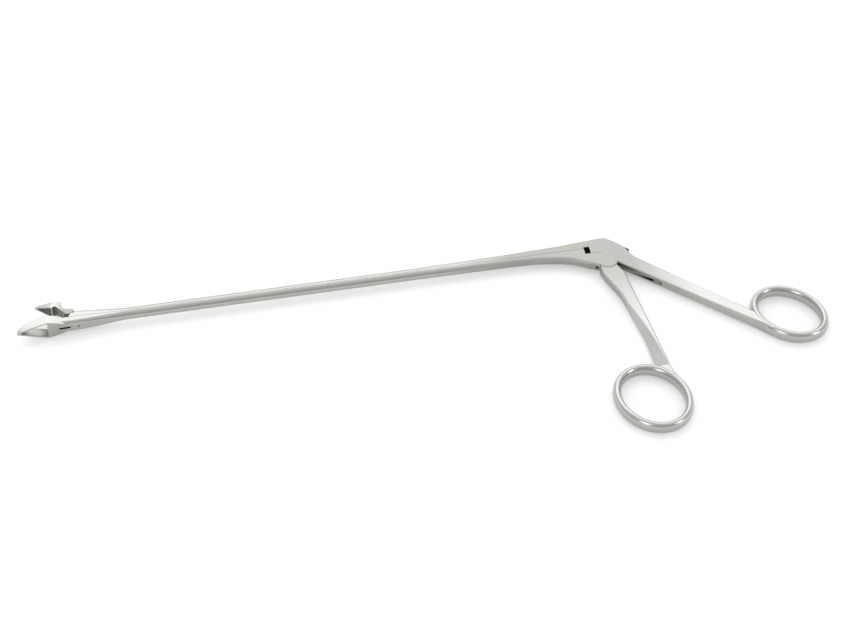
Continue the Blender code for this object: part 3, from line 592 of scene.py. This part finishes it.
def cupInside(place, normal):
    # seen with the rim level: the hollow, and the ground face behind it down to the tongue where it faces down; both
    # take the honed steel with its painted shade
    level = Matrix.Rotation(linkage["open"], 3, "Z")
    place, normal = level @ (place - Vector((*hingePoint, 0))), level @ normal
    back = cup["rimLength"] - cup["reach"]
    inner = cup["width"] / 2 * (place.x + cup["reach"]) / cup["rimLength"] - 0.35
    inHollow = place.x < back + 0.05 and abs(place.z) < inner and cup["rise"] + 0.05 < place.y < cup["rise"] + 1.7
    underRoot = back + 0.1 < place.x < 1 and normal.y < -0.15 and place.y < 5.5
    return inHollow or underRoot


cupJaw = finishPiece(makeCupJaw(), "jaw", 0.08, shadeAndFinishFaces=cupInside)
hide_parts("upper_jaw")
print("cup jaw made")


# front handle with its tang and ring

frontHandle = {
    "root": (1.3, -10.0), "rootWidth": 7.0, "thickness": 4.4, "corners": (0.8, 0.3), "relief": 1.6,
    # distance down from the shaft axis, and X there
    "bellyEdge": [(9.8, -2.2), (11.8, -4.0), (15.9, -3.3), (22.2, -0.9), (28.4, 1.3), (40.3, 3.4), (52.0, 5.4),
                  (61.6, 6.1), (65.6, 6.5)],
    "lowEdge": [(23.6, -0.7), (28.0, 1.1), (33.0, 2.0), (44.5, 4.1), (56.0, 5.7), (66.0, 6.4), (70.5, 6.3)],
    "lowHeight": [(23.6, 2.4), (28.0, 0.2), (33.0, -1.0), (44.5, -1.5), (56.0, -1.5), (66.0, -1.5), (70.5, -1.5)],
    "ridge": [(24.0, -0.5), (28.0, 1.3), (33.0, 2.5), (44.5, 6.0), (56.0, 8.8), (70.1, 11.1)],
    "foot": [(6.2, -68.0), (4.9, -69.1)], "shoulder": [(13.1, -75.4), (12.2, -73.0), (11.65, -70.1), (11.35, -66.0)],
    "flankLow": (23.6, 46.9), "flankRidge": (24.0, 46.1),  # start and length, down from the shaft axis
}
frontRing = {"centre": (0.7, -85.0), "size": (36.0, 31.1), "tilt": math.radians(-62), "band": (3.6, 6.0)}


def makeFrontHandle():
    bar = frontHandle
    root = Vector(bar["root"])
    along = (Vector(bar["shoulder"][2]) - root - Vector((2.8, 0))).normalized()
    left = Vector((-along.y, along.x))
    half = bar["rootWidth"] / 2
    relieved = half - bar["relief"]
    outline = [(through(bar["bellyEdge"], down), -down) for down in spread(9.8, 65.6, 60)] + bar["foot"]
    outline += [tuple(ringPoint(frontRing, math.radians(turn))) for turn in (135, 120, 105, 92)] + bar["shoulder"]
    outline += [tuple(root + left * half + along * 4 * bar["relief"]),
                tuple(root + left * relieved + along * bar["relief"]), tuple(root + left * relieved)]
    piece = roundedSlab("frontHandle", outline, bar["thickness"], *bar["corners"])
    # a flank ground into the upper face falls from the ridge to the belly edge
    rows = []
    top = bar["thickness"] / 2
    for t in spread(0, 1, 48):
        down, ridgeDown = [start + t * length for start, length in (bar["flankLow"], bar["flankRidge"])]
        low = Vector((through(bar["lowEdge"], down), -down, through(bar["lowHeight"], down)))
        ridge = Vector((through(bar["ridge"], ridgeDown), -ridgeDown, top))
        beyond = low + (low - ridge).normalized()
        rows.append([tuple(beyond), tuple(ridge), (ridge.x, ridge.y, top + 4), (beyond.x, beyond.y, top + 4)])
    combine(piece, [skin("flank", rows), roundBar("cheekSpace", pivotPoint, body["cheek"] + 0.12, (-4, 4), 96)],
            "DIFFERENCE")
    webEnd = root + along * body["cheek"]
    parts = [slab("tangWeb", pill(pivotPoint, webEnd, 3.0, 3.1), 1.6),
             slab("tangNeck", pill(pivotPoint, tangHead, 0.8, 0.8), 1.6),
             roundBar("tangHead", tangHead, 1.2, (-0.8, 0.8)), makeRing("frontBand", frontRing)]
    return combine(piece, parts, "UNION")


def flankFace(place, normal):
    # the sloping face on the belly side, between the joint and the ring
    return -70 < place.y < -14 and place.x < 12 and 0.05 < normal.z < 0.97 and normal.x < 0


frontBar = finishPiece(makeFrontHandle(), "lever", 0.04, 25, shadeAndFinishFaces=flankFace)
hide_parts("front_handle")
print("front handle made")


# leaf spring and pins

spring = {"pinAlong": 16.5, "inset": 1.1, "tip": (-0.6, -0.4), "leaf": 0.4, "width": 1.4, "foot": (-0.9, 2.6)}


def makeSpring():
    place = besideRear(spring["pinAlong"], spring["inset"])
    tip = besideRear(*spring["tip"])
    foot = [tuple(place + rearAlong * along + rearInwards * depth)
            for along in spring["foot"] for depth in (-1.06, 1.0)]
    foot = [foot[0], foot[2], foot[3], foot[1]]
    piece = slab("leafSpring", foot, spring["width"])
    leaf = slab("leaf", pill(place, tip, spring["leaf"] / 2, spring["leaf"] / 2), spring["width"])
    return combine(piece, [leaf], "UNION")


leafSpring = finishPiece(makeSpring(), "leaf", 0.05)
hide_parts("return_spring")

# riveted pins, ground flush so that only a hairline shows
pins = {
    "handle_pivot_pin": (pivotPoint, 1.2, shaft["bodyThickness"] / 2 + 0.012, "body"),
    "jaw_hinge_pin": (hingePoint, 0.4, 3.21, "body"),
    "jaw_link_pin": (linkPoint, 0.4, 3.19, "slider"),
    "spring_pin": (besideRear(spring["pinAlong"], spring["inset"]), 0.4, rearHandle["thickness"] / 2 + 0.012, "body"),
}
pinPieces = []
for node, (place, radius, reach, rider) in pins.items():
    pin = finishPiece(roundBar(node.replace("_", "") + "Rivet", place, radius, (-reach, reach)), rider, 0.03)
    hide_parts(node)
    pinPieces.append(pin)
print("spring and pins made")


# materials

def linear(colour):
    values = [int(colour[index:index + 2], 16) / 255 for index in (1, 3, 5)]
    return [v / 12.92 if v <= 0.04045 else ((v + 0.055) / 1.055) ** 2.4 for v in values] + [1.0]


def addNode(tree, kind, settings=None, links=None):
    node = tree.nodes.new(kind)
    for name, value in (settings or {}).items():
        if isinstance(name, int) or name in node.inputs.keys():
            node.inputs[name].default_value = value
        else:
            setattr(node, name, value)
    for name, source in (links or {}).items():
        tree.links.new(source, node.inputs[name])
    return node


def toned(tree, place, look):
    # base colour with a soft cloud over it, roughness with a fine grain, and the grain itself
    stretched = addNode(tree, "ShaderNodeMapping", {"Scale": (look["stretch"], 1, 1)}, {"Vector": place})
    grain = addNode(tree, "ShaderNodeTexNoise", {"Scale": 500 / look["grain"], "Detail": 3, "Roughness": 0.6},
                    {"Vector": stretched.outputs["Vector"]})
    cloud = addNode(tree, "ShaderNodeTexNoise", {"Scale": 1000 / look["cloud"], "Detail": 4, "Roughness": 0.55},
                    {"Vector": place})
    tone = addNode(tree, "ShaderNodeMix", {"data_type": "RGBA"}, {0: cloud.outputs["Fac"]})
    tone.inputs[6].default_value = linear(look["dark"])
    tone.inputs[7].default_value = linear(look["light"])
    rough = addNode(tree, "ShaderNodeMapRange", {"From Min": 0.3, "From Max": 0.7, "To Min": look["rough"][0],
                                                 "To Max": look["rough"][1]}, {"Value": grain.outputs["Fac"]})
    return tone.outputs[2], rough.outputs["Result"], grain.outputs["Fac"]


def steelMaterial(name, look, inner=None, axis="X", reach=None):
    # a second look may take over along an axis, over the reach in mm where it fades in and out
    steel = bpy.data.materials.new(name)
    steel.use_nodes = True
    tree = steel.node_tree
    shader = tree.nodes["Principled BSDF"]
    shader.inputs["Metallic"].default_value = 1.0
    place = addNode(tree, "ShaderNodeTexCoord").outputs["Object"]
    tone, rough, grain = toned(tree, place, look)
    if inner:
        split = addNode(tree, "ShaderNodeSeparateXYZ", None, {0: place})
        ends = []
        start = origin["XY".index(axis)]
        for first, last in (reach[:2], reach[:1:-1]):
            span = {"From Min": start + first / 1000, "From Max": start + last / 1000}
            ends.append(addNode(tree, "ShaderNodeMapRange", span, {"Value": split.outputs[axis]}))
        share = addNode(tree, "ShaderNodeMath", {"operation": "MULTIPLY"},
                        {0: ends[0].outputs["Result"], 1: ends[1].outputs["Result"]}).outputs[0]
        innerTone, innerRough, _ = toned(tree, place, inner)
        tone = addNode(tree, "ShaderNodeMix", {"data_type": "RGBA"}, {0: share, 6: tone, 7: innerTone}).outputs[2]
        rough = addNode(tree, "ShaderNodeMix", None, {0: share, 2: rough, 3: innerRough}).outputs[0]
    # painted shade: side walls, whose normals lie flat, are darkened to the look's wall share of the tone, against
    # faces that point up or down
    geometry = addNode(tree, "ShaderNodeNewGeometry")
    facing = addNode(tree, "ShaderNodeSeparateXYZ", None, {0: geometry.outputs["Normal"]})
    upright = addNode(tree, "ShaderNodeMath", {"operation": "ABSOLUTE"}, {0: facing.outputs["Z"]})
    wallShade = addNode(tree, "ShaderNodeMapRange",
                       {"From Min": 0.2, "From Max": 0.7, "To Min": look["wall"], "To Max": 1.0},
                       {"Value": upright.outputs[0]})
    wallShadedTone = addNode(tree, "ShaderNodeVectorMath", {"operation": "SCALE"},
                     {0: tone, "Scale": wallShade.outputs["Result"]})
    tree.links.new(wallShadedTone.outputs[0], shader.inputs["Base Color"])
    tree.links.new(rough, shader.inputs["Roughness"])
    bump = addNode(tree, "ShaderNodeBump", {"Strength": look["bump"], "Distance": look["grain"] / 4000},
                   {"Height": grain})
    tree.links.new(bump.outputs["Normal"], shader.inputs["Normal"])
    return steel


# in each look, wall is the share of the tone that the painted shade leaves on side walls
# martensitic stainless, glass-bead blasted round the joint: an even matte grey with a cool cast
# (the real tooth is about 0.05 mm; it is drawn at 0.3 mm so that it shows)
blastedLook = {"dark": "#B2B2AE", "light": "#BBBBB6", "rough": (0.46, 0.56), "grain": 0.3, "cloud": 9, "stretch": 1,
               "bump": 0.12, "wall": 0.9}
# the same steel drawn over a fine wheel: brighter, with a satin glow along the shaft and handles
satinLook = {"dark": "#C5C3BF", "light": "#CDCBC7", "rough": (0.22, 0.29), "grain": 0.35, "cloud": 8, "stretch": 0.3,
             "bump": 0.06, "wall": 0.72}
pastEnd = (100, 101)  # beyond the part, so that the second look never fades out again
satinSteel = steelMaterial("wheelSatinStainless", satinLook, blastedLook, "X", (-75, -42, 10, 34))
handleSteel = steelMaterial("handleSatinStainless", satinLook, blastedLook, "Y", (-45, -8, *pastEnd))
# the flank milled along the front handle: blasted too, a paler matte band beside the satin face
flankSteel = steelMaterial("blastedFlankStainless", {**blastedLook, "dark": "#CECEC8", "light": "#D5D5CF", "wall": 0.8})
# ground edges and faces of the jaws: fine parallel lines left by the wheel, bright where they face the light
groundLook = {"dark": "#CFCDC8", "light": "#D9D7D3", "rough": (0.22, 0.30), "grain": 0.35, "cloud": 4, "stretch": 0.12,
              "bump": 0.1, "wall": 0.66}
# the cup is ground over its back and blasted at its wing, so it goes from bright to matte towards the hinge
cupGround = steelMaterial("groundCupStainless", groundLook, blastedLook, "X",
                          (hingePoint.x - 6.5, hingePoint.x - 1.8, *pastEnd))
# the fixed jaw's ground face fades into the satin of its root, without a line between the two
rootGround = steelMaterial("groundRootStainless", groundLook, satinLook, "X", (jawRoot - 1.5, jawRoot + 4, *pastEnd))
# the insides of the jaws, honed by hand: duller, and painted greyer as painted shade, so that both bowls read as hollow
honedShadeLook = {"dark": "#85827C", "light": "#A19E98", "rough": (0.3, 0.4), "grain": 0.4, "cloud": 2, "stretch": 0.2,
             "bump": 0.2, "wall": 0.85}
cupHonedShade = steelMaterial("honedCupShadeSteel", honedShadeLook)
basketHonedShade = steelMaterial("honedBasketShadeSteel", {**honedShadeLook, "dark": "#A19F9A", "light": "#BDBBB6"})
# hardened spring strip with the skin of heat treatment: a dull mid grey
springSteel = steelMaterial("temperedSpringSteel", {
    "dark": "#8A8883", "light": "#A09E99", "rough": (0.36, 0.48), "grain": 0.3, "cloud": 3, "stretch": 0.4, "bump": 0.1,
    "wall": 0.9})
# the slide's tail, painted dark grey as shade: it stands for the shadowed gap at the body's back edge, against the
# satin handle
tailShadeSteel = steelMaterial("paintedShadeTailSteel", {
    "dark": "#4A4845", "light": "#5C5A56", "rough": (0.36, 0.48), "grain": 0.3, "cloud": 3, "stretch": 0.4, "bump": 0.1,
    "wall": 1})
# painted shade: the depths of slots and windows get a nearly black steel that stands in for the shadow there
paintedShadeSteel = steelMaterial("paintedShadeRecessSteel", {
    "dark": "#1C1B1A", "light": "#2A2927", "rough": (0.5, 0.6), "grain": 0.3, "cloud": 3, "stretch": 1, "bump": 0.1,
    "wall": 1})

finishes = [
    ((satinSteel, paintedShadeSteel), "satin_steel", [fixedHalf, slidingHalf]),
    ((handleSteel, flankSteel), "satin_steel", [frontBar]),
    ((satinSteel,), "satin_steel", [rearBand]),
    ((rootGround, basketHonedShade), "satin_steel", [basketJaw]),
    ((cupGround, cupHonedShade), "satin_steel", [cupJaw]),
    ((springSteel,), "dull_steel", [leafSpring]),
    ((tailShadeSteel,), "satin_steel", [sliderTail]),
    ((satinSteel,), "polished_steel", pinPieces),
]
for steels, slotName, pieces in finishes:
    for piece in pieces:
        for steel in steels:
            piece.data.materials.append(steel)
print("materials made")


# table, lamps and camera

# the instrument rests on its jaw and its two rings, so the table leans a little against it
table = {"normal": (-0.00438, 0.00872, 0.99995), "depth": 3.85, "halfWidth": 2.5, "glow": 0.26}


def makeTable():
    normal = Vector(table["normal"])
    turn = Vector((0, 0, 1)).rotation_difference(normal).to_matrix().to_4x4()
    centre = toWorld @ (normal * -table["depth"] - Vector((1, 0, 0)))
    size = table["halfWidth"]
    mesh = bpy.data.meshes.new("table")
    mesh.from_pydata([(-size, -size, 0), (size, -size, 0), (size, size, 0), (-size, size, 0)], [], [(0, 1, 2, 3)])
    sheet = newObject("table", mesh)
    sheet.matrix_world = Matrix.Translation(centre) @ turn
    paper = bpy.data.materials.new("whitePaperSweep")
    paper.use_nodes = True
    tree = paper.node_tree
    tree.nodes.clear()
    base = addNode(tree, "ShaderNodeBsdfDiffuse", {"Color": linear("#F2F2F2")})
    glow = addNode(tree, "ShaderNodeEmission", {"Color": (1, 1, 1, 1)})
    path = addNode(tree, "ShaderNodeLightPath")
    camera = addNode(tree, "ShaderNodeMath", {"operation": "MAXIMUM"},
                     {0: path.outputs["Is Camera Ray"], 1: path.outputs["Is Transmission Ray"]})
    seen = addNode(tree, "ShaderNodeMath", {"operation": "MAXIMUM"},
                   {0: camera.outputs[0], 1: path.outputs["Is Glossy Ray"]})
    lift = addNode(tree, "ShaderNodeMath", {"operation": "MULTIPLY", 1: table["glow"]}, {0: seen.outputs[0]})
    tree.links.new(lift.outputs[0], glow.inputs["Strength"])
    both = addNode(tree, "ShaderNodeAddShader", None, {0: base.outputs[0], 1: glow.outputs[0]})
    addNode(tree, "ShaderNodeOutputMaterial", None, {"Surface": both.outputs[0]})
    mesh.materials.append(paper)


makeTable()

lamps = {
    # name: place, aim, size, watts
    "overheadBox": ((0.0, 0.62, 0.80), (0, 0, 0), (1.5, 0.9), 3.0),
    "leftBox": ((-0.55, -0.70, 0.38), (0, 0, 0), (0.3, 0.5), 1.1),
    "rightBox": ((0.75, -0.60, 0.38), (0, 0, 0), (0.3, 0.5), 1.1),
}
for name, (place, aim, size, watts) in lamps.items():
    lamp = bpy.data.lights.new(name, "AREA")
    lamp.shape = "RECTANGLE"
    lamp.size, lamp.size_y = size
    lamp.energy = watts
    holder = newObject(name, lamp)
    holder.location = place
    holder.rotation_euler = (Vector(aim) - Vector(place)).to_track_quat("-Z", "Y").to_euler()

studio = {"near": 0.50, "far": 0.90, "lean": 0.7}
world = bpy.data.worlds.new("studio")
bpy.context.scene.world = world
world.use_nodes = True
tree = world.node_tree
tree.nodes.clear()
direction = addNode(tree, "ShaderNodeTexCoord")
split = addNode(tree, "ShaderNodeSeparateXYZ", None, {0: direction.outputs["Generated"]})
# the room is dim on the near side and pale behind and above the table
lean = addNode(tree, "ShaderNodeMath", {"operation": "MULTIPLY_ADD", 1: studio["lean"]},
               {0: split.outputs["Y"], 2: split.outputs["Z"]})
level = addNode(tree, "ShaderNodeMapRange",
                {"From Min": -0.1, "From Max": 1.1, "To Min": studio["near"], "To Max": studio["far"]},
                {"Value": lean.outputs[0]})
room = addNode(tree, "ShaderNodeBackground", None, {"Strength": level.outputs["Result"]})
white = addNode(tree, "ShaderNodeBackground", {"Strength": 1.0})
path = addNode(tree, "ShaderNodeLightPath")
mix = addNode(tree, "ShaderNodeMixShader", None,
              {0: path.outputs["Is Camera Ray"], 1: room.outputs[0], 2: white.outputs[0]})
for background in (room, white):
    background.inputs["Color"].default_value = (1, 1, 1, 1)
addNode(tree, "ShaderNodeOutputWorld", None, {"Surface": mix.outputs[0]})

viewpoint = {
    "place": (-207.518, -650.481, 732.164), "lens": 2300 / 853 * 36, "sensor": 36,
    # its own right, up and back
    "axes": ((0.98232, -0.18705, 0.00786), (0.13612, 0.74240, 0.65598), (-0.12854, -0.64331, 0.75474)),
}
cameraData = bpy.data.cameras.new("camera")
cameraData.sensor_width = viewpoint["sensor"]
cameraData.lens = viewpoint["lens"]
camera = newObject("camera", cameraData)
camera.matrix_world = (Matrix.Translation(toWorld @ Vector(viewpoint["place"]))
                       @ Matrix(viewpoint["axes"]).transposed().to_4x4())
cameraData.clip_start = 0.01
bpy.context.scene.camera = camera
bpy.context.scene.view_settings.view_transform = "Standard"
print("stage made")
